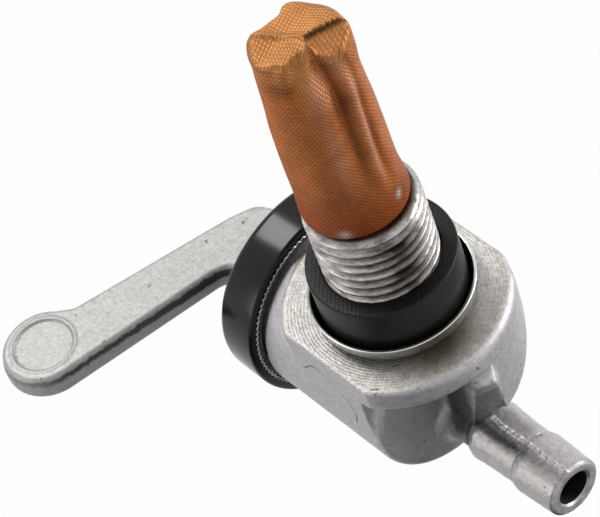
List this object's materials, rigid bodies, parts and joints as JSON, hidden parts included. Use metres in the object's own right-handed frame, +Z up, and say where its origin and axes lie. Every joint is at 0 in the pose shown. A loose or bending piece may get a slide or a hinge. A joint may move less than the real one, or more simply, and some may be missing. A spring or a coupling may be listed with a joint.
{
  "type": "fuel tap",
  "caption": "Small-engine fuel tap: threaded tank stem with gauze filter, sealing gasket, side lever valve in a round cap, and a straight hose barb.",
  "frame": {"origin": "on the threaded stem's axis, in the plane of the gasket's top, which seals against the tank", "axes": "+Z up the stem into the tank, +X along the hose barb to its tip, the lever points to -Y in the closed position"},
  "size_m": [0.0645, 0.0452, 0.0675],
  "materials": {
    "casting": "matte die cast, turned flange",
    "lever": "matte die cast",
    "gauze": "woven phosphor bronze gauze",
    "collar": "plain pressed sleeve",
    "washer": "bright zinc plated",
    "gasket": "black rubber",
    "cap": "glossy black plastic",
    "seal": "black fuel-resistant rubber",
    "spring": "spring steel"
  },
  "bodies": {
    "tap": {"body": "casting", "gasket": "gasket", "cup_washer": "washer", "filter_collar": "collar", "filter_sleeve": "gauze", "cap_ring": "cap", "valve_seal": "seal", "wave_spring": "spring"},
    "lever": {"lever": "lever"}
  },
  "joints": [
    {"name": "lever_turn", "type": "hinge", "parent": "tap", "child": "lever", "pos_m": [0, 0, -0.0188], "axis": [1, 0, 0], "range_deg": [0, 90]}
  ]
}
